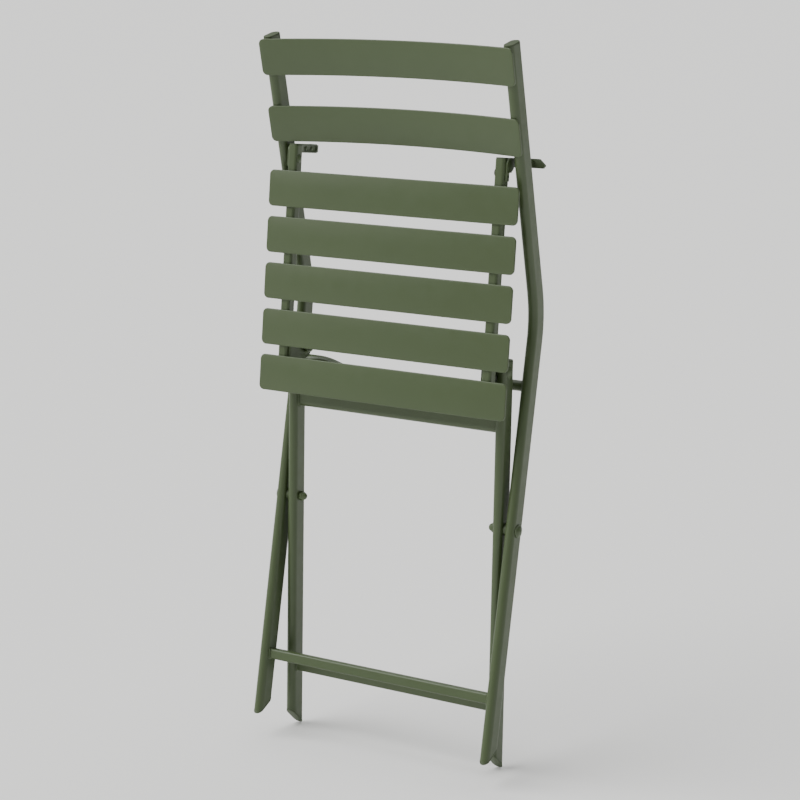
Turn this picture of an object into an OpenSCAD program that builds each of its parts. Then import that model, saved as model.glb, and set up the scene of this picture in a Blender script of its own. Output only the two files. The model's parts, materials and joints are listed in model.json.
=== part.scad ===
// Folding slatted chair of flat-oval steel tube, drawn folded flat and upright.
// +Z is up, -Y is the front, X runs across the chair. Millimetres and degrees.
// The long frame carries the backrest and the front feet, the rear legs cross it
// at one pivot each side, and the seat hangs from the tops of the rear legs.

/* [Seat] */
// Width of every slat
slat_w = 380; // [370:1:384]
// Height of a seat slat across its short side
seat_slat_h = 48.5; // [40:0.5:56]
// Distance from one seat slat's edge to the next one's
seat_pitch = 62.2; // [58:0.1:63]
// Thickness of the slat plates
slat_t = 3; // [2:0.5:3.5]
// Corner radius of the slat plates
slat_r = 7; // [3:0.5:12]
// Lean of the folded seat, back going up
seat_lean = 6.41; // [6:0.01:7]

/* [Backrest] */
// Height of a backrest slat
back_slat_h = 49; // [40:0.5:56]
// Radius of the backrest slats' curve, seen from above
back_r = 1141; // [1000:1:1600]
// Top edge of the upper backrest slat, below the top of the upright
back_slat_drop = 0.6; // [0:0.1:8]
// Distance from one backrest slat's top edge to the other's
back_pitch = 91.1; // [80:0.1:110]

/* [Long frame] */
// Lean of the front leg, back going up
leg_lean = 11.94; // [11.5:0.01:12.5]
// Angle between the leg and the upright
bend_angle = 24.2735; // [22:0.0001:25]
// Radius of the tube's bend, on its centre line
bend_r = 160; // [100:5:200]
// Main pivot to the foot of the front leg
front_leg_len = 295.1; // [290:0.1:305]
// Main pivot to the corner of the bend
bend_above_pivot = 282.8; // [270:0.1:290]
// Corner of the bend to the top of the upright
upright_len = 360.9; // [340:0.1:380]
// Main pivot to the curved crossbar
crossbar_above_pivot = 188.9; // [180:0.1:190]
// Main pivot down to the front stretcher
front_stretcher_below = 223.6; // [200:0.1:240]

/* [Rear legs] */
// Lean of the folded rear leg, back going up
rear_lean = 1.87; // [1.5:0.01:2.5]
// Main pivot to the foot of the rear leg
rear_leg_len = 317.6; // [312:0.1:325]
// Main pivot to the seat pivot
seat_pivot_above = 208.2; // [205:0.1:212]
// Tube left above the seat pivot
rear_top_margin = 14; // [11:0.5:15]
// Main pivot up to the rear legs' upper crossbar
rear_crossbar_above = 141.3; // [120:0.1:160]
// Main pivot down to the rear stretcher
rear_stretcher_below = 243.6; // [220:0.1:260]

/* [Tube] */
// Long side of the flat-oval tube, front to back
tube_d = 28; // [26:0.5:30]
// Short side of the flat-oval tube, across the chair
tube_w = 14; // [13:0.5:14.5]
// Wall thickness of every tube
wall = 1.5; // [1:0.1:2]
// Depth of the seat rail below the slats
rail_d = 16; // [14:0.5:17]

/* [Hardware] */
// Radius of the pivot bolts' shanks
bolt_r = 4; // [3:0.25:4.5]
// Radius of the washers under the crossing bolts' heads
washer_r = 9; // [8:0.25:10]
// Radial clearance of a bolt in the part that turns on it
running_gap = 0.05; // [0.02:0.01:0.1]
// Gap left between faces that slide past each other
side_gap = 0.3; // [0.2:0.05:0.5]

/* [Fold] */
// Angle the rear legs turn through when the chair is opened
open_angle = 68; // [60:0.5:68]

/* [Hidden] */
$fn = 96;

// Colours
powder = "#5d6b4c";
powder_dark = "#4d5a3e";
plastic = "#566347";

// Main pivot, measured from the middle of the object's base
pivot_y = 4.465;
pivot_z = 333.98;

// Distances across the chair, from its middle plane
long_x = 180.4;
rear_x = 161.7;
rail_x = 157.7;
rail_w = 14;
long_inner = long_x - tube_w / 2;
long_outer = long_x + tube_w / 2;
rear_inner = rear_x - tube_w / 2;
rear_outer = rear_x + tube_w / 2;
rail_inner = rail_x - rail_w / 2;
rail_outer = rail_x + rail_w / 2;

// Seat, in its own frame: origin on the seat pivot, +Z towards the hooks,
// +Y away from the sitter
seat_face_y = -46.4;
slat_1_top = 239.5;
rail_y = seat_face_y + slat_t;
rail_r = 4;
rail_top = slat_1_top + 34.2;
rail_bottom = slat_1_top - 4 * seat_pitch - seat_slat_h + 4;
lug_t = 3;
lug_r = 13.5;
lug_half = 24;

// Hooks, in the seat's frame
hook_t = 3;
hook_low = slat_1_top + 24;
hook_h = 12;
hook_front = seat_face_y + 7;
hook_rear = seat_face_y + 76;
heel_w = 12;
heel_drop = 7;
hook_bend_r = 9;
tab_len = 18;
tab_w = 6;
pocket_rim = 1.8;
pocket_depth = 1.4;
rivet_y = [8, 22];
rivet_r = 2;
rivet_head_r = 3.2;
tab_rivet_r = 1.8;
tab_rivet_drop = 7.5;
block_d = 5;
block_reach = 18.5;
block_leg = 36;
block_t = 2.5;

// Bend of the long tube
bend_tangent = bend_r * tan(bend_angle / 2);
lower_len = bend_above_pivot - bend_tangent;
upper_len = upright_len - bend_tangent;

// Curved crossbar: straight ends, then a bow towards the feet. The bow's angle is
// that of a 7-24-25 triangle, so its arcs end on round numbers.
crossbar_r = 7;
bow_angle = asin(7 / 25);
bow_small_r = 100;
bow_large_r = 300;
bow_slope_len = 38.5;
bow_end_x = (bow_small_r + bow_large_r) * sin(bow_angle) + bow_slope_len * cos(bow_angle);
bow_drop = (bow_small_r + bow_large_r) * (1 - cos(bow_angle)) + bow_slope_len * sin(bow_angle);

// Stretchers of square tube
stretcher_s = 14;
stretcher_r = 2.5;

// Feet: the soles lie level when the chair stands open
open_sum = open_angle + leg_lean - rear_lean;
front_stand = atan2(front_leg_len - rear_leg_len * cos(open_sum), rear_leg_len * sin(open_sum));
rear_stand = open_sum - front_stand;
cap_t = 2.6;
cap_grow = 0.4;
spigot_gap = 0.15;
spigot_len = 20;

// Pivot hardware
washer_t = 1.4;
head_r = 7.2;
head_h = 3;
nut_r = 5.8;
nut_flat_h = 5;
seat_head_r = 8.2;
seat_head_h = 2.8;
spacer_r = 8;
seat_spacer_r = 6.8;
plug_t = 1.6;
plug_len = 14;

// ---------- Frames ----------

module mirrored() {
    children();
    mirror([1, 0, 0]) children();
}

module in_long() {
    translate([0, pivot_y, pivot_z]) rotate([-leg_lean, 0, 0]) children();
}

module in_upright() {
    in_long() translate([0, -bend_r, lower_len]) rotate([bend_angle, 0, 0])
        translate([0, bend_r, 0]) children();
}

module in_rear() {
    translate([0, pivot_y, pivot_z]) rotate([-rear_lean, 0, 0]) children();
}

module in_seat() {
    in_rear() translate([0, 0, seat_pivot_above]) rotate([rear_lean - seat_lean, 0, 0]) children();
}

// ---------- Shared shapes ----------

module stadium(d, w) {
    square([w, d - w], center = true);
    for (s = [-1, 1])
        translate([0, s * (d - w) / 2]) circle(d = w);
}

module oval_ring() {
    difference() {
        stadium(tube_d, tube_w);
        stadium(tube_d - 2 * wall, tube_w - 2 * wall);
    }
}

module rounded_rect(w, h, r) {
    square([w - 2 * r, h], center = true);
    square([w, h - 2 * r], center = true);
    for (x = [-1, 1], y = [-1, 1])
        translate([x * (w / 2 - r), y * (h / 2 - r)]) circle(r = r);
}

module rect_ring(w, h, r) {
    difference() {
        rounded_rect(w, h, r);
        rounded_rect(w - 2 * wall, h - 2 * wall, r - wall);
    }
}

// A rod along +X from x0 to x1
module x_rod(r, x0, x1) {
    translate([x0, 0, 0]) rotate([0, 90, 0]) cylinder(r = r, h = x1 - x0);
}

// A low dome along +X, its flat side at x0
module x_dome(r, h, x0) {
    ball_r = (r * r + h * h) / (2 * h);
    translate([x0, 0, 0]) rotate([0, 90, 0])
        intersection() {
            translate([0, 0, h - ball_r]) sphere(r = ball_r);
            cylinder(r = r, h = h);
        }
}

// Everything beyond a plane through the origin, tilted about X
module beyond(tilt, side) {
    big = 120;
    rotate([tilt, 0, 0]) translate([-big / 2, -big / 2, side > 0 ? 0 : -big]) cube(big);
}

// Cap on a slanted tube end: the origin is the middle of the cut,
// +Z runs up the tube, and the sole is tilted about X
module foot_cap(tilt) {
    difference() {
        translate([0, 0, -60]) linear_extrude(120) stadium(tube_d + cap_grow, tube_w + cap_grow);
        beyond(tilt, 1);
        rotate([tilt, 0, 0]) translate([0, 0, -cap_t]) rotate([-tilt, 0, 0]) beyond(tilt, -1);
    }
    difference() {
        translate([0, 0, -60]) linear_extrude(60 + spigot_len)
            stadium(tube_d - 2 * wall - 2 * spigot_gap, tube_w - 2 * wall - 2 * spigot_gap);
        beyond(tilt, -1);
    }
}

module end_plug() {
    linear_extrude(plug_t) stadium(tube_d - 0.6, tube_w - 0.6);
    translate([0, 0, -plug_len]) linear_extrude(plug_len)
        stadium(tube_d - 2 * wall - 2 * spigot_gap, tube_w - 2 * wall - 2 * spigot_gap);
}

// ---------- Long frame ----------

// The whole bent tube: the origin is where the bend starts, +Z runs up the leg
module bent_run(below) {
    translate([0, 0, -below]) linear_extrude(below) oval_ring();
    translate([0, -bend_r, 0]) {
        rotate([90, 0, 90]) rotate_extrude(angle = bend_angle)
            translate([bend_r, 0]) rotate(90) oval_ring();
        rotate([bend_angle, 0, 0]) translate([0, bend_r, 0]) linear_extrude(upper_len) oval_ring();
    }
}

module long_tube(side) {
    in_long() translate([side * long_x, 0, lower_len]) difference() {
        bent_run(lower_len + front_leg_len + tube_d);
        translate([0, 0, -lower_len - front_leg_len]) beyond(front_stand, -1);
        translate([0, 0, -lower_len]) x_rod(bolt_r + running_gap, -tube_w, tube_w);
    }
}

module long_tube_left() color(powder_dark) long_tube(-1);
module long_tube_right() color(powder_dark) long_tube(1);

// A backrest slat, rolled to a curve and touching both uprights
module back_slat(top_z) {
    rear_r = back_r + slat_t;
    touch = sqrt(pow(rear_r + tube_w / 2, 2) - pow(long_x, 2));
    centre_y = -(tube_d - tube_w) / 2 - touch;
    sweep = 2 * asin((slat_w / 2 + 4) / back_r);
    in_upright() translate([0, 0, top_z - back_slat_h])
        intersection() {
            translate([0, centre_y, 0]) rotate([0, 0, 90 - sweep / 2])
                rotate_extrude(angle = sweep, $fn = 360) translate([back_r, 0]) square([slat_t, back_slat_h]);
            translate([0, 20, back_slat_h / 2]) rotate([90, 0, 0])
                linear_extrude(80) rounded_rect(slat_w, back_slat_h, slat_r);
        }
}

module back_slat_upper() color(powder) back_slat(upper_len - back_slat_drop);
module back_slat_lower() color(powder) back_slat(upper_len - back_slat_drop - back_pitch);

module round_ring() {
    difference() {
        circle(r = crossbar_r);
        circle(r = crossbar_r - wall);
    }
}

module straight_bar(len) rotate([90, 0, 90]) linear_extrude(len) round_ring();

// Children carry on where an arc ends that leaves the origin along +X;
// a negative radius is one that bends down
module after_arc(r) {
    translate([abs(r) * sin(bow_angle), 0, r * (1 - cos(bow_angle))])
        rotate([0, -sign(r) * bow_angle, 0]) children();
}

// A bar that leaves the origin along +X and bends upwards, cut square at its end
module arc_bar(r) {
    spare = 4;
    difference() {
        translate([0, 0, r]) rotate([90, 0, 0]) rotate([0, 0, 270])
            rotate_extrude(angle = bow_angle + spare) translate([r, 0]) round_ring();
        after_arc(r) translate([0, -2 * crossbar_r, -2 * crossbar_r])
            cube([r, 4 * crossbar_r, 4 * crossbar_r]);
    }
}

// The bowed round bar: the origin is its lowest point, in the middle
module crossbar_run() {
    mirrored() {
        arc_bar(bow_large_r);
        after_arc(bow_large_r) {
            straight_bar(bow_slope_len);
            translate([bow_slope_len, 0, 0]) {
                mirror([0, 0, 1]) arc_bar(bow_small_r);
                after_arc(-bow_small_r) straight_bar(long_inner - bow_end_x);
            }
        }
    }
}

module curved_crossbar() color(powder_dark)
    in_long() translate([0, 0, crossbar_above_pivot - bow_drop]) crossbar_run();

module front_stretcher() color(powder_dark)
    in_long() translate([-long_inner, 0, -front_stretcher_below]) rotate([90, 0, 90])
        linear_extrude(2 * long_inner) rect_ring(stretcher_s, stretcher_s, stretcher_r);

module top_plugs() color(plastic)
    mirrored() in_upright() translate([long_x, 0, upper_len]) end_plug();

module front_foot_cap() in_long() translate([long_x, 0, -front_leg_len]) foot_cap(front_stand);
module front_foot_cap_left() color(plastic) mirror([1, 0, 0]) front_foot_cap();
module front_foot_cap_right() color(plastic) front_foot_cap();

module cross_bolts() color(powder)
    mirrored() in_long() {
        x_rod(bolt_r, rear_inner - side_gap - nut_flat_h - 2, long_outer + washer_t);
        x_dome(head_r, head_h, long_outer + washer_t);
    }

module cross_washers() color(powder)
    mirrored() in_long() difference() {
        x_rod(washer_r, long_outer, long_outer + washer_t);
        x_rod(bolt_r + running_gap, long_outer - 1, long_outer + washer_t + 1);
    }

module cross_spacers() color(plastic)
    mirrored() in_long() difference() {
        x_rod(spacer_r, rear_outer + side_gap, long_inner);
        x_rod(bolt_r + running_gap, rear_outer, long_inner + 1);
    }

// Nut with a closed, rounded cap
module cap_nut(face_x, bolt_end) {
    difference() {
        union() {
            translate([face_x - nut_flat_h, 0, 0]) rotate([0, 90, 0])
                cylinder(r = nut_r / cos(30), h = nut_flat_h, $fn = 6);
            mirror([1, 0, 0]) x_dome(nut_r - 0.4, nut_r - 0.8, nut_flat_h - face_x);
        }
        x_rod(bolt_r, bolt_end, face_x + 1);
    }
}

module cross_cap_nuts() color(powder)
    mirrored() in_long() cap_nut(rear_inner - side_gap, rear_inner - side_gap - nut_flat_h - 2);

// ---------- Rear legs ----------

module rear_tube() {
    difference() {
        in_rear() translate([rear_x, 0, -rear_leg_len - tube_d])
            linear_extrude(rear_leg_len + tube_d + seat_pivot_above + rear_top_margin) oval_ring();
        in_rear() translate([rear_x, 0, -rear_leg_len]) beyond(-rear_stand, -1);
        in_rear() x_rod(bolt_r + running_gap, rear_inner - 1, rear_outer + 1);
        in_rear() translate([0, 0, seat_pivot_above])
            x_rod(bolt_r + running_gap, rear_inner - 1, rear_outer + 1);
    }
}

module rear_tube_left() color(powder_dark) mirror([1, 0, 0]) rear_tube();
module rear_tube_right() color(powder_dark) rear_tube();

module rear_top_crossbar() color(powder_dark)
    in_rear() translate([-rear_inner, 0, rear_crossbar_above]) rotate([90, 0, 90])
        linear_extrude(2 * rear_inner) oval_ring();

module rear_stretcher() color(powder_dark)
    in_rear() translate([-rear_inner, 0, -rear_stretcher_below]) rotate([90, 0, 90])
        linear_extrude(2 * rear_inner) rect_ring(stretcher_s, stretcher_s, stretcher_r);

module rear_top_plugs() color(plastic)
    mirrored() in_rear() translate([rear_x, 0, seat_pivot_above + rear_top_margin])
        linear_extrude(plug_t) stadium(tube_d - 0.6, tube_w - 0.6);

module rear_foot_cap() in_rear() translate([rear_x, 0, -rear_leg_len]) foot_cap(-rear_stand);
module rear_foot_cap_left() color(plastic) mirror([1, 0, 0]) rear_foot_cap();
module rear_foot_cap_right() color(plastic) rear_foot_cap();

module seat_pivot_bolts() color(powder)
    mirrored() in_rear() translate([0, 0, seat_pivot_above]) {
        x_rod(bolt_r, rail_inner - lug_t - side_gap - nut_flat_h - 2, rear_outer);
        x_dome(seat_head_r, seat_head_h, rear_outer);
    }

module seat_pivot_spacers() color(plastic)
    mirrored() in_rear() translate([0, 0, seat_pivot_above]) difference() {
        x_rod(seat_spacer_r, rail_inner + side_gap, rear_inner);
        x_rod(bolt_r + running_gap, rail_inner, rear_inner + 1);
    }

module seat_pivot_nuts() color(powder)
    mirrored() in_rear() translate([0, 0, seat_pivot_above])
        cap_nut(rail_inner - lug_t - side_gap, rail_inner - lug_t - side_gap - nut_flat_h - 2);

// ---------- Seat ----------

module at_tab_rivet() translate([0, hook_front + tab_w / 2, hook_low - tab_rivet_drop]) children();

module seat_rail()
    in_seat() difference() {
        translate([rail_x, rail_y + rail_d / 2, rail_bottom])
            linear_extrude(rail_top - rail_bottom) rect_ring(rail_w, rail_d, rail_r);
        at_tab_rivet() x_rod(tab_rivet_r, rail_inner - 1, rail_outer + 1);
    }

module seat_rail_left() color(powder_dark) mirror([1, 0, 0]) seat_rail();
module seat_rail_right() color(powder_dark) seat_rail();

module rail_end_plugs() color(plastic)
    mirrored() in_seat() translate([rail_x, rail_y + rail_d / 2, 0]) {
        translate([0, 0, rail_top]) linear_extrude(plug_t) rounded_rect(rail_w - 0.6, rail_d - 0.6, rail_r);
        translate([0, 0, rail_bottom - plug_t])
            linear_extrude(plug_t) rounded_rect(rail_w - 0.6, rail_d - 0.6, rail_r);
    }

module seat_slat(i) color(powder)
    in_seat() translate([0, seat_face_y + slat_t, slat_1_top - i * seat_pitch - seat_slat_h / 2])
        rotate([90, 0, 0]) linear_extrude(slat_t) rounded_rect(slat_w, seat_slat_h, slat_r);

// Points of an arc about the origin
function arc(r, a0, a1, steps) =
    [for (i = [0:steps]) let (a = a0 + (a1 - a0) * i / steps) r * [cos(a), sin(a)]];

// Plate on the rail's inner side that carries the seat pivot: a round lobe
// about the pivot that widens to a straight edge on the rail
module pivot_lug() {
    rail_back = rail_y + rail_d;
    side = atan2(lug_half, rail_back) - acos(lug_r / norm([lug_half, rail_back]));
    in_seat() difference() {
        translate([rail_inner - lug_t, 0, 0]) rotate([90, 0, 90]) linear_extrude(lug_t)
            polygon(concat(
                [
                    [rail_back, lug_half],
                    [rail_y + 5, lug_half],
                    [rail_y + 5, -lug_half],
                    [rail_back, -lug_half]
                ],
                arc(lug_r, -side, side, 24)
            ));
        x_rod(bolt_r + running_gap, rail_inner - lug_t - 1, rail_inner + 1);
    }
}

module pivot_lug_left() color(powder_dark) mirror([1, 0, 0]) pivot_lug();
module pivot_lug_right() color(powder_dark) pivot_lug();

// Outline of the hook plate: a tab down the rail, a heel that the crossbar rests
// against, a round corner and a long arm
module hook_outline() {
    top = hook_low + hook_h;
    heel_low = hook_low - heel_drop;
    translate([hook_front, hook_low - tab_len]) square([tab_w, tab_len]);
    translate([hook_front, heel_low]) square([heel_w, top - hook_bend_r - heel_low]);
    translate([hook_front + hook_bend_r, top - hook_bend_r]) circle(r = hook_bend_r);
    translate([hook_front + hook_bend_r, hook_low])
        square([hook_rear - hook_front - hook_bend_r - 3, hook_h]);
    translate([hook_rear - 4, hook_low + 1]) square([4, hook_h - 2]);
}

module rear_hook() {
    pocket_y = hook_rear - block_leg;
    in_seat() difference() {
        translate([rail_outer, 0, 0]) rotate([90, 0, 90]) linear_extrude(hook_t) hook_outline();
        translate([rail_outer - 1, pocket_y + block_leg / 2 - 2, hook_low + hook_h / 2]) rotate([90, 0, 90])
            linear_extrude(pocket_depth + 1)
                rounded_rect(block_leg - 2 * pocket_rim, hook_h - 2 * pocket_rim, 3);
        for (y = rivet_y)
            translate([0, pocket_y + y, hook_low + hook_h / 2])
                x_rod(rivet_r, rail_outer, rail_outer + hook_t + 1);
        at_tab_rivet() x_rod(tab_rivet_r, rail_outer - 1, rail_outer + hook_t + 1);
    }
}

module rear_hook_left() color(powder_dark) mirror([1, 0, 0]) rear_hook();
module rear_hook_right() color(powder_dark) rear_hook();

// Rivets that hold the hooks' tabs to the rails, with a broad head on the inner side
module hook_rivets() color(powder)
    mirrored() in_seat() at_tab_rivet() {
        x_rod(tab_rivet_r, rail_inner, rail_outer + hook_t);
        mirror([1, 0, 0]) x_dome(6, 2.4, -rail_inner);
        x_dome(rivet_head_r, 1, rail_outer + hook_t);
    }

// Block riveted to the hook's arm, reaching out behind the upright
module guide_block() {
    x0 = rail_outer + hook_t;
    in_seat() {
        translate([x0, hook_rear - block_d, hook_low]) rotate([90, 0, 0]) mirror([0, 0, 1])
            linear_extrude(block_d)
                polygon([
                    [0, 0],
                    [block_reach - 2.5, 0],
                    [block_reach, 3],
                    [block_reach, 4.6],
                    [block_reach - 8.5, hook_h],
                    [0, hook_h]
                ]);
        difference() {
            translate([x0, hook_rear - block_leg, hook_low + 1])
                cube([block_t, block_leg - block_d, hook_h - 2]);
            for (y = rivet_y)
                translate([0, hook_rear - block_leg + y, hook_low + hook_h / 2])
                    x_rod(rivet_r, x0 - 1, x0 + block_t + 1);
        }
    }
}

module guide_block_left() color(plastic) mirror([1, 0, 0]) guide_block();
module guide_block_right() color(plastic) guide_block();

module guide_rivets() color(powder)
    mirrored() in_seat() for (y = rivet_y)
        translate([0, hook_rear - block_leg + y, hook_low + hook_h / 2]) {
            x_rod(rivet_r, rail_outer + pocket_depth, rail_outer + hook_t + block_t);
            mirror([1, 0, 0]) x_dome(rivet_head_r, 1.2, -rail_outer - pocket_depth);
            x_dome(rivet_head_r, 0.9, rail_outer + hook_t + block_t);
        }

long_tube_left();
long_tube_right();
back_slat_upper();
back_slat_lower();
curved_crossbar();
front_stretcher();
top_plugs();
front_foot_cap_left();
front_foot_cap_right();
cross_bolts();
cross_washers();
cross_spacers();
cross_cap_nuts();
rear_tube_left();
rear_tube_right();
rear_top_crossbar();
rear_stretcher();
rear_top_plugs();
rear_foot_cap_left();
rear_foot_cap_right();
seat_pivot_bolts();
seat_pivot_spacers();
seat_pivot_nuts();
seat_rail_left();
seat_rail_right();
seat_slat(0);  // seat_slat_1
seat_slat(1);  // seat_slat_2
seat_slat(2);  // seat_slat_3
seat_slat(3);  // seat_slat_4
seat_slat(4);  // seat_slat_5
rail_end_plugs();
pivot_lug_left();
pivot_lug_right();
rear_hook_left();
rear_hook_right();
hook_rivets();
guide_block_left();
guide_block_right();
guide_rivets();
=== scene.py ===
"""Finishes and fine detail of a folding slatted chair, laid out as a Blender add-on.

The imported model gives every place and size. This file coats the tubes, rounds the
edges of the slats and small parts, lays the weld beads and sets the chair on a plain
studio floor.
"""

import json
import math
import random

import bmesh
import bpy
from bpy.props import (
    FloatProperty, FloatVectorProperty, IntProperty, PointerProperty, StringProperty)
from mathutils import Matrix, Vector


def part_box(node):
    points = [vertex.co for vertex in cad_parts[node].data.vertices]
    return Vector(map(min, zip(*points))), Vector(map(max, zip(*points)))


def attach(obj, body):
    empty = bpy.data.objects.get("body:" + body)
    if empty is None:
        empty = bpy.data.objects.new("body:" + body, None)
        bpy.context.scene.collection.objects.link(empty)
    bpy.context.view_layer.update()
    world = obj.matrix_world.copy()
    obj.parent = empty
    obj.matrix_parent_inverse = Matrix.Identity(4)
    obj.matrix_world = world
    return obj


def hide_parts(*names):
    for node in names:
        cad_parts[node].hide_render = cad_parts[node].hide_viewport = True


bl_info = {
    "name": "Folding Slatted Chair",
    "version": (1, 0, 0),
    "blender": (4, 5, 0),
    "location": "3D View > Sidebar > Chair",
    "description": "Coats, edges, welds and a studio floor for a folding slatted chair",
    "category": "Object",
}

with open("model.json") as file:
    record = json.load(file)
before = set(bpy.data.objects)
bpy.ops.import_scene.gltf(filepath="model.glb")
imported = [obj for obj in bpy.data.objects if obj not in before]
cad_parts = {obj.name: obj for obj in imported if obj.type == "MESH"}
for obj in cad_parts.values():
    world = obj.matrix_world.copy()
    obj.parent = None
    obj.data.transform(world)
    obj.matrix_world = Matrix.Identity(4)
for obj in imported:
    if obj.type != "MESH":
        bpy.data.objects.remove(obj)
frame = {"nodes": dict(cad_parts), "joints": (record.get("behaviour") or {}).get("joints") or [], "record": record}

MM = 0.001
SIDES = (-1, 1)

SLAT_COUNT = 5
SLAT_THICKNESS = 3 * MM
CORNER_SEGMENTS = 10
EDGE_SEGMENTS = 3
BEVEL_SEGMENTS = 2
MERGE_DISTANCE = 1e-7

TUBE_NARROW = 14 * MM
TUBE_WIDE = 28 * MM
ROUND_RADIUS = 7 * MM
SQUARE_RADIUS = 2.5 * MM

SEAT_STITCH_LENGTH = 22 * MM
SEAT_STITCH_OUT = 5.2 * MM
SEAT_STITCH_IN = 0.9 * MM
LUG_STITCH_FRONT = 5.5 * MM
LUG_STITCH_REAR = 3 * MM
BACK_STITCH_LENGTH = 26 * MM
BACK_STITCH_OUT = 4.2 * MM
BACK_STITCH_IN = 0.6 * MM

RING_SIDES = 8
CORNER_STEPS = 8
BEAD_PITCH = 0.7
BEAD_WAVE = 2.1
BEAD_JITTER = 0.05
BEAD_END = 0.55

FLOOR_HALF_WIDTH = 40
WORLD_STRENGTH = 0.3
SENSOR_WIDTH = 36


# ---------- Places read from the frame ----------

def centre(node):
    """Middle of a node's box."""
    low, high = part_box(node)
    return (low + high) / 2


def lean_between(low_point, high_point):
    """Angle that a line up from low_point to high_point leans towards the back."""
    run = high_point - low_point
    return math.atan2(run.y, run.z)


def joint_point(name):
    """Where a joint's axis crosses the middle plane."""
    joint = next(j for j in frame["joints"] if j["name"] == name)
    return Vector(joint["pos_m"])


def turned(lean, origin=Vector()):
    """Frame at origin whose Z axis leans back by that angle."""
    return Matrix.Translation(origin) @ Matrix.Rotation(-lean, 4, "X")


def local_box(node, matrix, side=0):
    """A node's lowest and highest corner in a turned frame, on one side of the middle or both."""
    inverse = matrix.inverted()
    points = [inverse @ v.co for v in frame["nodes"][node].data.vertices if side * v.co.x >= 0]
    low = Vector([min(p[i] for p in points) for i in range(3)])
    high = Vector([max(p[i] for p in points) for i in range(3)])
    return low, high


SEAT_LEAN = lean_between(centre("seat_slat_5"), centre("seat_slat_1"))
UPRIGHT_LEAN = lean_between(centre("back_slat_lower"), centre("back_slat_upper"))
REAR_LEAN = lean_between(centre("rear_stretcher"), centre("rear_top_crossbar"))
LEG_LEAN = lean_between(centre("front_stretcher"), joint_point("leg_fold"))


# ---------- Settings ----------

class ChairFinish(bpy.types.PropertyGroup):
    tube_hex: StringProperty(
        name="Tube coat", description="Colour of the powder coat on the tubes", default="#3F4D2D")
    slat_hex: StringProperty(
        name="Slat coat", description="Colour of the powder coat on the slats", default="#414F2F")
    plastic_hex: StringProperty(
        name="Plastic", description="Colour of the moulded caps, plugs and spacers", default="#3C492B")
    coat_roughness: FloatProperty(
        name="Coat roughness", description="Roughness of the satin powder coat",
        default=0.42, min=0.1, max=0.9, subtype="FACTOR")
    peel_size: FloatProperty(
        name="Orange peel", description="Width of one dimple of the coat's orange peel",
        default=1.4 * MM, min=0.5 * MM, max=4 * MM, unit="LENGTH")


class ChairSlats(bpy.types.PropertyGroup):
    corner_radius: FloatProperty(
        name="Corner radius", description="Radius of a slat's four corners",
        default=7 * MM, min=2 * MM, max=14 * MM, unit="LENGTH")
    edge_radius: FloatProperty(
        name="Edge radius", description="Radius of the softened edge round each slat",
        default=0.8 * MM, min=0.2 * MM, max=1.4 * MM, unit="LENGTH")
    back_radius: FloatProperty(
        name="Back radius", description="Radius of the backrest slats' front face, seen from above",
        default=1.141, min=0.6, max=3.0, unit="LENGTH")
    back_steps: IntProperty(
        name="Back strips", description="Strips along a backrest slat's curve",
        default=64, min=16, max=160)


class ChairWelds(bpy.types.PropertyGroup):
    bead_radius: FloatProperty(
        name="Bead radius", description="Radius of a weld bead",
        default=1.8 * MM, min=0.6 * MM, max=3 * MM, unit="LENGTH")
    ripple: FloatProperty(
        name="Ripple", description="How far the bead's radius swells and shrinks",
        default=0.16, min=0.0, max=0.5, subtype="FACTOR")


class ChairStage(bpy.types.PropertyGroup):
    floor_hex: StringProperty(
        name="Floor", description="Colour of the plain floor", default="#F4F4F2")
    camera_place: FloatVectorProperty(
        name="Camera place", description="Where the camera stands", size=3,
        default=(1.5005, -2.4273, 1.1284), unit="LENGTH", subtype="TRANSLATION")
    camera_turn: FloatProperty(
        name="Camera turn", description="Turn of the camera round the chair",
        default=math.radians(31.56), unit="ROTATION")
    camera_drop: FloatProperty(
        name="Camera drop", description="How far the camera looks down",
        default=math.radians(12.64), unit="ROTATION")
    lens: FloatProperty(
        name="Lens", description="Focal length in millimetres on a 36 mm sensor",
        default=98.94, min=20.0, max=300.0)


# ---------- Node helpers ----------

def linear(hex_colour):
    """Turns an sRGB hex colour into the linear colour that shaders take."""
    channels = [int(hex_colour[i:i + 2], 16) / 255 for i in (1, 3, 5)]
    straight = [c / 12.92 if c <= 0.04045 else ((c + 0.055) / 1.055) ** 2.4 for c in channels]
    return (*straight, 1.0)


def add_node(tree, kind, settings=None, inputs=None):
    """Adds a node, sets its properties, and sets or links its inputs."""
    node = tree.nodes.new(kind)
    for name, value in (settings or {}).items():
        setattr(node, name, value)
    for name, value in (inputs or {}).items():
        socket = node.inputs[name]
        if isinstance(value, bpy.types.NodeSocket):
            tree.links.new(value, socket)
        else:
            socket.default_value = value
    return node


def new_material(name):
    """An empty node material and its tree."""
    material = bpy.data.materials.new(name)
    material.use_nodes = True
    material.node_tree.nodes.clear()
    return material, material.node_tree


def ramp(tree, factor, stops):
    """A colour ramp through the given (position, grey) stops."""
    node = add_node(tree, "ShaderNodeValToRGB", inputs={"Fac": factor})
    elements = node.color_ramp.elements
    for element, (position, grey) in zip(elements, stops):
        element.position = position
        element.color = (grey, grey, grey, 1.0)
    return node.outputs["Color"]


# ---------- Materials ----------

def coat_clouds(tree, place, base, shade_shift):
    """The coat's colour in slow, barely seen clouds some 90 mm across."""
    clouds = add_node(tree, "ShaderNodeTexNoise", inputs={
        "Vector": place, "Scale": 1 / (90 * MM), "Detail": 3.0, "Roughness": 0.55})
    mix = add_node(tree, "ShaderNodeMix", {"data_type": "RGBA"}, {
        "Factor": clouds.outputs["Fac"],
        "A": (*(base * (0.94 + shade_shift)), 1.0),
        "B": (*(base * (1.06 + shade_shift)), 1.0)})
    return mix.outputs["Result"]


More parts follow.
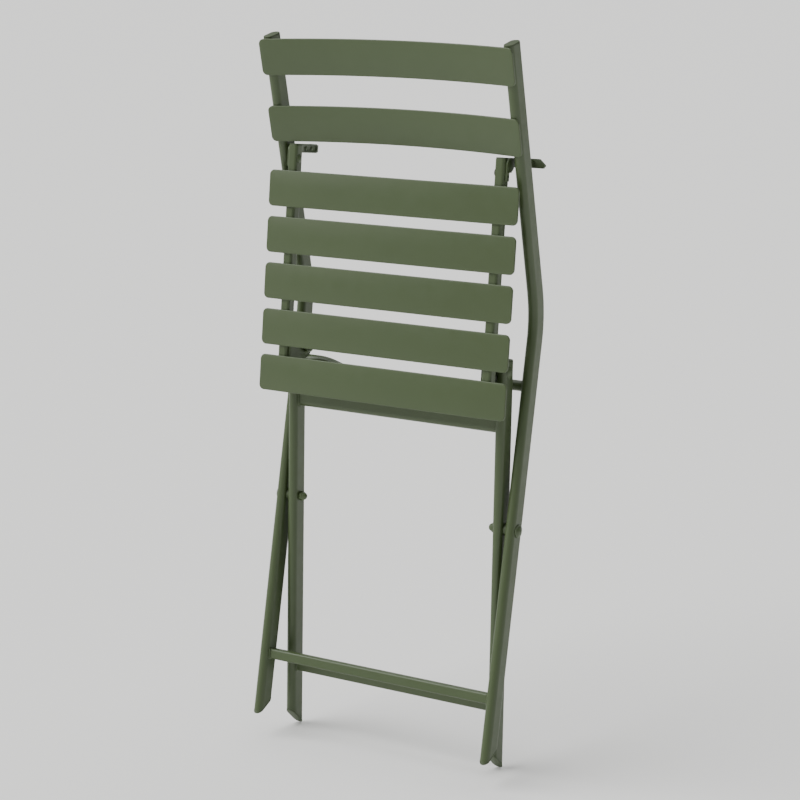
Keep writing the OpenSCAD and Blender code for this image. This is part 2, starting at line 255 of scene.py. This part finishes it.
def edge_highlight_painted(tree, coat, base, soft, rub_and_highlight_noise):
    """The coat's colour with a painted highlight, lightened in patches along each sharp edge."""
    sharp = add_node(tree, "ShaderNodeNewGeometry")
    flatness = add_node(tree, "ShaderNodeVectorMath", {"operation": "DOT_PRODUCT"}, {
        0: soft.outputs["Normal"], 1: sharp.outputs["Normal"]})
    edge = ramp(tree, flatness.outputs["Value"], [(0.80, 1.0), (0.985, 0.0)])
    highlight_patches = ramp(tree, rub_and_highlight_noise.outputs["Fac"], [(0.35, 0.25), (0.65, 0.8)])
    patchy_highlight = add_node(tree, "ShaderNodeMath", {"operation": "MULTIPLY"}, {0: edge, 1: highlight_patches})
    # Painted highlight: half again as light as the coat, laid along sharp edges in noise patches.
    highlight_colour = base * 1.5 + Vector((0.02, 0.02, 0.02))
    mix = add_node(tree, "ShaderNodeMix", {"data_type": "RGBA"}, {
        "Factor": patchy_highlight.outputs["Value"], "A": coat, "B": (*highlight_colour, 1.0)})
    return mix.outputs["Result"]


def powder_coat(name, hex_colour, shade_shift, finish):
    """Polyester powder coat on steel, sprayed and oven-cured: a satin skin with fine orange peel, a painted
    highlight that lightens the colour in patches along sharp edges, and faint handling rubs in the roughness."""
    material, tree = new_material(name)
    place = add_node(tree, "ShaderNodeTexCoord").outputs["Object"]
    peel = add_node(tree, "ShaderNodeTexNoise", inputs={
        "Vector": place, "Scale": 1 / finish.peel_size, "Detail": 1.5, "Roughness": 0.45})
    # Noise for the handling rubs in the roughness and for the patches of the painted edge highlight.
    rub_and_highlight_noise = add_node(tree, "ShaderNodeTexNoise", inputs={
        "Vector": place, "Scale": 1 / (18 * MM), "Detail": 6.0, "Roughness": 0.7})
    soft = add_node(tree, "ShaderNodeBevel", {"samples": 4}, {"Radius": 0.9 * MM})
    base = Vector(linear(hex_colour)[:3])
    coat = coat_clouds(tree, place, base, shade_shift)
    # Painted highlight along sharp edges, mixed into the coat's colour.
    colour = edge_highlight_painted(tree, coat, base, soft, rub_and_highlight_noise)
    rough = add_node(tree, "ShaderNodeMapRange", inputs={
        "Value": rub_and_highlight_noise.outputs["Fac"], "From Min": 0.3, "From Max": 0.7,
        "To Min": finish.coat_roughness - 0.05, "To Max": finish.coat_roughness + 0.06})
    bump = add_node(tree, "ShaderNodeBump", inputs={
        "Height": peel.outputs["Fac"], "Strength": 0.22, "Distance": 0.08 * MM,
        "Normal": soft.outputs["Normal"]})
    shader = add_node(tree, "ShaderNodeBsdfPrincipled", inputs={
        "Base Color": colour, "Roughness": rough.outputs["Result"],
        "Normal": bump.outputs["Normal"], "IOR": 1.5})
    add_node(tree, "ShaderNodeOutputMaterial", inputs={"Surface": shader.outputs["BSDF"]})
    return material


def moulded_nylon(name, hex_colour):
    """Injection-moulded nylon: a dull skin with the mould's fine spark-erosion grain
    and slow sink marks that break up its highlights."""
    material, tree = new_material(name)
    place = add_node(tree, "ShaderNodeTexCoord").outputs["Object"]
    grain = add_node(tree, "ShaderNodeTexNoise", inputs={
        "Vector": place, "Scale": 1 / (0.7 * MM), "Detail": 2.0, "Roughness": 0.6})
    sink = add_node(tree, "ShaderNodeTexNoise", inputs={
        "Vector": place, "Scale": 1 / (12 * MM), "Detail": 1.0})
    base = Vector(linear(hex_colour)[:3])
    colour = add_node(tree, "ShaderNodeMix", {"data_type": "RGBA"}, {
        "Factor": sink.outputs["Fac"], "A": (*(base * 0.9), 1.0), "B": (*(base * 1.1), 1.0)})
    rough = add_node(tree, "ShaderNodeMapRange", inputs={
        "Value": grain.outputs["Fac"], "To Min": 0.5, "To Max": 0.66})
    grain_bump = add_node(tree, "ShaderNodeBump", inputs={
        "Height": grain.outputs["Fac"], "Strength": 0.3, "Distance": 0.04 * MM})
    bump = add_node(tree, "ShaderNodeBump", inputs={
        "Height": sink.outputs["Fac"], "Strength": 0.15, "Distance": 0.3 * MM,
        "Normal": grain_bump.outputs["Normal"]})
    shader = add_node(tree, "ShaderNodeBsdfPrincipled", inputs={
        "Base Color": colour.outputs["Result"], "Roughness": rough.outputs["Result"],
        "Normal": bump.outputs["Normal"], "IOR": 1.53})
    add_node(tree, "ShaderNodeOutputMaterial", inputs={"Surface": shader.outputs["BSDF"]})
    return material


def studio_floor(name, hex_colour):
    """Matt painted floor board: even and pale, with a faint roller stipple."""
    material, tree = new_material(name)
    place = add_node(tree, "ShaderNodeTexCoord").outputs["Object"]
    stipple = add_node(tree, "ShaderNodeTexNoise", inputs={
        "Vector": place, "Scale": 1 / (3 * MM), "Detail": 2.0})
    bump = add_node(tree, "ShaderNodeBump", inputs={
        "Height": stipple.outputs["Fac"], "Strength": 0.05, "Distance": 0.05 * MM})
    shader = add_node(tree, "ShaderNodeBsdfPrincipled", inputs={
        "Base Color": linear(hex_colour), "Roughness": 0.85, "Normal": bump.outputs["Normal"]})
    add_node(tree, "ShaderNodeOutputMaterial", inputs={"Surface": shader.outputs["BSDF"]})
    return material


def finishes():
    """The chair's materials, made once and found again by name."""
    settings = bpy.context.scene.chair_finish
    if "powder_coat_tube" not in bpy.data.materials:
        powder_coat("powder_coat_tube", settings.tube_hex, 0.0, settings)
        powder_coat("powder_coat_slat", settings.slat_hex, 0.0, settings)
        powder_coat("powder_coat_hardware", settings.slat_hex, 0.04, settings)
        moulded_nylon("moulded_nylon", settings.plastic_hex)
    return bpy.data.materials


SLOT_FINISH = {
    "tube_paint": "powder_coat_tube",
    "slat_paint": "powder_coat_slat",
    "hardware_paint": "powder_coat_hardware",
    "plastic_trim": "moulded_nylon",
}


# ---------- Mesh helpers ----------

def finish_piece(name, bm, body, slot, smooth_angle=40):
    """Turns a bmesh into a shaded piece that rides on a body."""
    bmesh.ops.remove_doubles(bm, verts=bm.verts, dist=MERGE_DISTANCE)
    bmesh.ops.recalc_face_normals(bm, faces=bm.faces)
    mesh = bpy.data.meshes.new(name)
    bm.to_mesh(mesh)
    bm.free()
    piece = bpy.data.objects.new(name, mesh)
    bpy.context.scene.collection.objects.link(piece)
    mesh.shade_smooth()
    mesh.set_sharp_from_angle(angle=math.radians(smooth_angle))
    mesh.materials.append(finishes()[SLOT_FINISH[slot]])
    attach(piece, body)
    return piece


def round_edges(bm, edges, radius, segments, clamp=False):
    """Rounds edges with a bevel, which clamp stops short where two would meet."""
    bmesh.ops.bevel(bm, geom=edges, offset=radius, offset_type="OFFSET", affect="EDGES",
                    segments=segments, profile=0.5, material=-1, clamp_overlap=clamp)


# ---------- Slats ----------

def flat_slat(low, high, corner, edge):
    """A plate filling a box that is thin along Y, with round corners and softened edges."""
    bm = bmesh.new()
    bmesh.ops.create_cube(bm, size=1.0)
    bmesh.ops.scale(bm, vec=high - low, verts=bm.verts)
    bmesh.ops.translate(bm, vec=(high + low) / 2, verts=bm.verts)
    half_thickness = (high - low).y / 2
    corners = [e for e in bm.edges if abs(e.verts[0].co.y - e.verts[1].co.y) > half_thickness]
    round_edges(bm, corners, corner, CORNER_SEGMENTS)
    rims = [e for e in bm.edges if any(abs(f.normal.y) > 0.9 for f in e.link_faces)]
    round_edges(bm, rims, edge, EDGE_SEGMENTS)
    return bm


def rolled_slat(low, high, settings):
    """A flat plate cut across into strips, then rolled to the backrest's curve."""
    bm = flat_slat(Vector((low.x, high.y - SLAT_THICKNESS, low.z)), high,
                   settings.corner_radius, settings.edge_radius)
    for step in range(1, settings.back_steps):
        across = low.x + (high.x - low.x) * step / settings.back_steps
        bmesh.ops.bisect_plane(bm, geom=[*bm.verts, *bm.edges, *bm.faces], dist=MERGE_DISTANCE,
                               plane_co=(across, 0, 0), plane_no=(1, 0, 0))
    radius = settings.back_radius + SLAT_THICKNESS / 2
    for vert in bm.verts:
        vert.co.y += math.sqrt(radius ** 2 - vert.co.x ** 2) - radius
    return bm


class CHAIR_OT_seat_slats(bpy.types.Operator):
    """Lay the five flat seat slats"""
    bl_idname = "chair.seat_slats"
    bl_label = "Seat Slats"

    def execute(self, context):
        settings = context.scene.chair_slats
        place = turned(SEAT_LEAN)
        for number in range(1, SLAT_COUNT + 1):
            node = f"seat_slat_{number}"
            low, high = local_box(node, place)
            bm = flat_slat(low, high, settings.corner_radius, settings.edge_radius)
            bmesh.ops.transform(bm, matrix=place, verts=bm.verts)
            piece = finish_piece(f"slat_plate_{number}", bm, "seat", "slat_paint")
            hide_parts(node)
        return {"FINISHED"}


class CHAIR_OT_back_slats(bpy.types.Operator):
    """Roll the two curved backrest slats"""
    bl_idname = "chair.back_slats"
    bl_label = "Backrest Slats"

    def execute(self, context):
        place = turned(UPRIGHT_LEAN)
        for level in ("upper", "lower"):
            node = f"back_slat_{level}"
            low, high = local_box(node, place)
            bm = rolled_slat(low, high, context.scene.chair_slats)
            bmesh.ops.transform(bm, matrix=place, verts=bm.verts)
            piece = finish_piece(f"back_plate_{level}", bm, "long_frame", "slat_paint")
            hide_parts(node)
        return {"FINISHED"}


# ---------- Welds ----------

def spaced(points, step, closed):
    """Points set at even steps along a line of points."""
    corners = points + points[:1] if closed else points
    runs = [(b - a).length for a, b in zip(corners, corners[1:])]
    count = max(2, round(sum(runs) / step))
    marks = [sum(runs) * i / count for i in range(count if closed else count + 1)]
    result = []
    leg, done = 0, 0.0
    for mark in marks:
        while leg < len(runs) - 1 and mark > done + runs[leg]:
            done += runs[leg]
            leg += 1
        result.append(corners[leg].lerp(corners[leg + 1], (mark - done) / runs[leg]))
    return result


def outline(middle, depth, height, radius):
    """Points round a rounded rectangle that stands square to the X axis."""
    points = []
    for corner, (side_y, side_z) in enumerate(((1, 1), (-1, 1), (-1, -1), (1, -1))):
        hub = middle + Vector((0, side_y * (depth / 2 - radius), side_z * (height / 2 - radius)))
        for step in range(CORNER_STEPS + 1):
            angle = math.radians(90) * (corner + step / CORNER_STEPS)
            points.append(hub + radius * Vector((0, math.cos(angle), math.sin(angle))))
    return [p for i, p in enumerate(points) if (p - points[i - 1]).length > 1e-6]


def lay_bead(bm, points, settings, rng, closed=False):
    """Lays a rippled bead along points: a ring at each, bridged to the next."""
    path = spaced(points, BEAD_PITCH * settings.bead_radius, closed)
    last = len(path) - 1
    loops = []
    for i, point in enumerate(path):
        ahead = path[(i + 1) % len(path)] if closed else path[min(i + 1, last)]
        behind = path[i - 1] if closed or i else point
        at_end = not closed and i in (0, last)
        swell = 1 + settings.ripple * math.sin(BEAD_WAVE * i) + rng.uniform(-BEAD_JITTER, BEAD_JITTER)
        radius = settings.bead_radius * swell * (BEAD_END if at_end else 1)
        turn = (ahead - behind).to_track_quat("Z", "Y").to_matrix().to_4x4()
        ring = bmesh.ops.create_circle(bm, cap_ends=at_end, segments=RING_SIDES, radius=radius,
                                       matrix=Matrix.Translation(point) @ turn)
        loops.append(list(dict.fromkeys(e for v in ring["verts"] for e in v.link_edges)))
    pairs = list(zip(loops, loops[1:])) + ([(loops[-1], loops[0])] if closed else [])
    for first, second in pairs:
        bmesh.ops.bridge_loops(bm, edges=first + second)


def weld_piece(name, place, runs, body, context):
    """One mesh of all the given beads, each a list of points in a turned frame and
    whether it closes into a ring."""
    rng = random.Random(name)
    bm = bmesh.new()
    for points, closed in runs:
        lay_bead(bm, points, context.scene.chair_welds, rng, closed)
    bmesh.ops.transform(bm, matrix=place, verts=bm.verts)
    finish_piece(name, bm, body, "tube_paint", 60)


def end_rings(node, lean, depth, height, radius):
    """Bead round both ends of a cross member, where it meets the tubes."""
    low, high = local_box(node, turned(lean))
    middle_y = (low.y + high.y) / 2
    middle_z = high.z - height / 2
    ends = [Vector((side * high.x, middle_y, middle_z)) for side in SIDES]
    return [(outline(end, depth, height, radius), True) for end in ends]


def line(x, y, z_middle, length):
    """A straight stitch along Z."""
    return [Vector((x, y, z_middle - length / 2)), Vector((x, y, z_middle + length / 2))]


class CHAIR_OT_member_welds(bpy.types.Operator):
    """Weld the stretchers and crossbars to their tubes, all round"""
    bl_idname = "chair.member_welds"
    bl_label = "Cross Member Welds"

    def execute(self, context):
        members = (
            ("front_stretcher", LEG_LEAN, TUBE_NARROW, SQUARE_RADIUS, "long_frame"),
            ("curved_crossbar", LEG_LEAN, TUBE_NARROW, ROUND_RADIUS, "long_frame"),
            ("rear_stretcher", REAR_LEAN, TUBE_NARROW, SQUARE_RADIUS, "rear_legs"),
            ("rear_top_crossbar", REAR_LEAN, TUBE_WIDE, ROUND_RADIUS, "rear_legs"),
        )
        for node, lean, height, radius, body in members:
            rings = end_rings(node, lean, TUBE_NARROW, height, radius)
            weld_piece(f"weld_{node}", turned(lean), rings, body, context)
        return {"FINISHED"}


def seat_runs(place):
    """Stitches beside both rails behind each seat slat, and across the pivot lugs."""
    rail_low, rail_high = local_box("seat_rail_right", place)
    lug_low, lug_high = local_box("pivot_lug_right", place)
    rail_x = (rail_low.x + rail_high.x) / 2
    stitch_y = rail_low.y + SEAT_STITCH_IN
    lug_ys = (rail_low.y + LUG_STITCH_FRONT, rail_high.y - LUG_STITCH_REAR)
    runs = []
    for number in range(1, SLAT_COUNT + 1):
        low, high = local_box(f"seat_slat_{number}", place)
        for side in SIDES:
            for edge in SIDES:
                x = side * (rail_x + edge * SEAT_STITCH_OUT)
                runs.append((line(x, stitch_y, (low.z + high.z) / 2, SEAT_STITCH_LENGTH), False))
    for side in SIDES:
        for z in (lug_low.z, lug_high.z):
            runs.append(([Vector((side * rail_low.x, y, z)) for y in lug_ys], False))
    return runs


def backrest_runs(place, back_radius):
    """Stitches beside both uprights behind each backrest slat, on its rolled rear face."""
    tube_low, tube_high = local_box("top_plugs", place, side=1)
    tube_x = (tube_low.x + tube_high.x) / 2
    rear_radius = back_radius + SLAT_THICKNESS
    runs = []
    for level in ("upper", "lower"):
        low, high = local_box(f"back_slat_{level}", place)
        for side in SIDES:
            for edge in SIDES:
                x = tube_x + edge * BACK_STITCH_OUT
                y = high.y - rear_radius + math.sqrt(rear_radius ** 2 - x ** 2) + BACK_STITCH_IN
                runs.append((line(side * x, y, (low.z + high.z) / 2, BACK_STITCH_LENGTH), False))
    return runs


class CHAIR_OT_slat_welds(bpy.types.Operator):
    """Stitch the slats to the rails and uprights, and the pivot lugs to the rails"""
    bl_idname = "chair.slat_welds"
    bl_label = "Slat Welds"

    def execute(self, context):
        place = turned(SEAT_LEAN)
        weld_piece("weld_seat", place, seat_runs(place), "seat", context)
        place = turned(UPRIGHT_LEAN)
        runs = backrest_runs(place, context.scene.chair_slats.back_radius)
        weld_piece("weld_backrest", place, runs, "long_frame", context)
        return {"FINISHED"}


# ---------- Softened parts ----------

def softened(name, node, body, slot, radius):
    """A copy of a node's shape whose sharp edges are rounded, standing in its place."""
    bm = bmesh.new()
    bm.from_mesh(frame["nodes"][node].data)
    bmesh.ops.remove_doubles(bm, verts=bm.verts, dist=1e-6)
    bmesh.ops.dissolve_limit(bm, angle_limit=math.radians(1), verts=bm.verts, edges=bm.edges)
    sharp = [e for e in bm.edges
             if len(e.link_faces) == 2 and e.calc_face_angle(0) > math.radians(35)]
    round_edges(bm, sharp, radius, BEVEL_SEGMENTS, clamp=True)
    piece = finish_piece(name, bm, body, slot, 30)
    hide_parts(node)


class CHAIR_OT_plastics(bpy.types.Operator):
    """Round the moulded edges of the foot caps, plugs and guide blocks"""
    bl_idname = "chair.plastics"
    bl_label = "Moulded Parts"

    def execute(self, context):
        sided = (
            ("moulded_front_foot", "front_foot_cap", "long_frame", 0.7 * MM),
            ("moulded_rear_foot", "rear_foot_cap", "rear_legs", 0.7 * MM),
            ("moulded_guide", "guide_block", "seat", 0.5 * MM),
        )
        for side in ("left", "right"):
            for name, node, body, radius in sided:
                softened(f"{name}_{side}", f"{node}_{side}", body, "plastic_trim", radius)
        paired = (
            ("moulded_top_plugs", "top_plugs", "long_frame"),
            ("moulded_rear_plugs", "rear_top_plugs", "rear_legs"),
            ("moulded_rail_plugs", "rail_end_plugs", "seat"),
        )
        for name, node, body in paired:
            softened(name, node, body, "plastic_trim", 0.4 * MM)
        return {"FINISHED"}


class CHAIR_OT_plates(bpy.types.Operator):
    """Break the edges of the pressed hooks, lugs, washers and nuts"""
    bl_idname = "chair.plates"
    bl_label = "Pressed Parts"

    def execute(self, context):
        for side in ("left", "right"):
            softened(f"pressed_hook_{side}", f"rear_hook_{side}", "seat", "tube_paint", 0.35 * MM)
            softened(f"pressed_lug_{side}", f"pivot_lug_{side}", "seat", "tube_paint", 0.4 * MM)
        hardware = (
            ("pressed_washers", "cross_washers", "long_frame", 0.35 * MM),
            ("cross_nuts", "cross_cap_nuts", "long_frame", 0.3 * MM),
            ("seat_nuts", "seat_pivot_nuts", "rear_legs", 0.3 * MM),
        )
        for name, node, body, radius in hardware:
            softened(name, node, body, "hardware_paint", radius)
        return {"FINISHED"}


class CHAIR_OT_coats(bpy.types.Operator):
    """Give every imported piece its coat"""
    bl_idname = "chair.coats"
    bl_label = "Coats"

    def execute(self, context):
        slots = {part["node"]: part["material_slot"] for part in frame["record"]["subparts"]}
        for name, node in frame["nodes"].items():
            finish = finishes()[SLOT_FINISH[slots[name]]]
            for slot in node.material_slots:
                slot.material = finish
        return {"FINISHED"}


# ---------- Stage ----------

def soft_sun(name, source, spread, strength):
    """An even light from one side, as wide as spread degrees, so its shadows stay soft."""
    light = bpy.data.lights.new(name, "SUN")
    light.angle = math.radians(spread)
    light.energy = strength
    lamp = bpy.data.objects.new(name, light)
    bpy.context.scene.collection.objects.link(lamp)
    lamp.rotation_euler = Vector(source).to_track_quat("Z", "Y").to_euler()


def lay_floor(scene, settings):
    """A plain level floor under the chair."""
    bm = bmesh.new()
    bmesh.ops.create_grid(bm, x_segments=1, y_segments=1, size=FLOOR_HALF_WIDTH)
    mesh = bpy.data.meshes.new("studio_floor")
    bm.to_mesh(mesh)
    bm.free()
    floor = bpy.data.objects.new("studio_floor", mesh)
    scene.collection.objects.link(floor)
    mesh.materials.append(studio_floor("painted_floor", settings.floor_hex))


def light_studio(scene):
    """A dim white surround with a wide key light from the left and one from above."""
    world = bpy.data.worlds.new("studio")
    world.use_nodes = True
    background = world.node_tree.nodes["Background"]
    background.inputs["Color"].default_value = (1.0, 1.0, 1.0, 1.0)
    background.inputs["Strength"].default_value = WORLD_STRENGTH
    scene.world = world
    soft_sun("key_light", (-1.0, -0.9, 1.25), 50, 3.2)
    soft_sun("top_light", (-0.2, 0.2, 1.0), 70, 1.4)


def place_camera(scene, settings):
    """The camera, standing level and looking slightly down."""
    camera = bpy.data.cameras.new("camera")
    camera.sensor_width = SENSOR_WIDTH
    camera.lens = settings.lens
    eye = bpy.data.objects.new("camera", camera)
    scene.collection.objects.link(eye)
    eye.location = settings.camera_place
    eye.rotation_euler = (math.radians(90) - settings.camera_drop, 0, settings.camera_turn)
    scene.camera = eye


class CHAIR_OT_stage(bpy.types.Operator):
    """Set the floor, the soft lights and the camera"""
    bl_idname = "chair.stage"
    bl_label = "Studio Stage"

    def execute(self, context):
        settings = context.scene.chair_stage
        lay_floor(context.scene, settings)
        light_studio(context.scene)
        place_camera(context.scene, settings)
        return {"FINISHED"}


class CHAIR_PT_panel(bpy.types.Panel):
    """Lists the chair's settings and the buttons for its steps"""
    bl_label = "Folding Chair"
    bl_idname = "CHAIR_PT_panel"
    bl_space_type = "VIEW_3D"
    bl_region_type = "UI"
    bl_category = "Chair"

    def draw(self, context):
        layout = self.layout
        for group in (context.scene.chair_finish, context.scene.chair_slats,
                      context.scene.chair_welds, context.scene.chair_stage):
            box = layout.box()
            for name in group.bl_rna.properties.keys():
                if name not in ("rna_type", "name"):
                    box.prop(group, name)
        for operator in OPERATORS:
            layout.operator(operator.bl_idname)


SETTINGS = {
    "chair_finish": ChairFinish,
    "chair_slats": ChairSlats,
    "chair_welds": ChairWelds,
    "chair_stage": ChairStage,
}
OPERATORS = (CHAIR_OT_coats, CHAIR_OT_seat_slats, CHAIR_OT_back_slats, CHAIR_OT_member_welds,
             CHAIR_OT_slat_welds, CHAIR_OT_plastics, CHAIR_OT_plates, CHAIR_OT_stage)


def register():
    for name, group in SETTINGS.items():
        bpy.utils.register_class(group)
        setattr(bpy.types.Scene, name, PointerProperty(type=group))
    for operator in OPERATORS:
        bpy.utils.register_class(operator)
    bpy.utils.register_class(CHAIR_PT_panel)


def unregister():
    bpy.utils.unregister_class(CHAIR_PT_panel)
    for operator in reversed(OPERATORS):
        bpy.utils.unregister_class(operator)
    for name, group in SETTINGS.items():
        delattr(bpy.types.Scene, name)
        bpy.utils.unregister_class(group)


def main():
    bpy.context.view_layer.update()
    register()
    for operator in OPERATORS:
        getattr(bpy.ops.chair, operator.bl_idname.split(".")[1])()


if __name__ == "__main__":
    main()
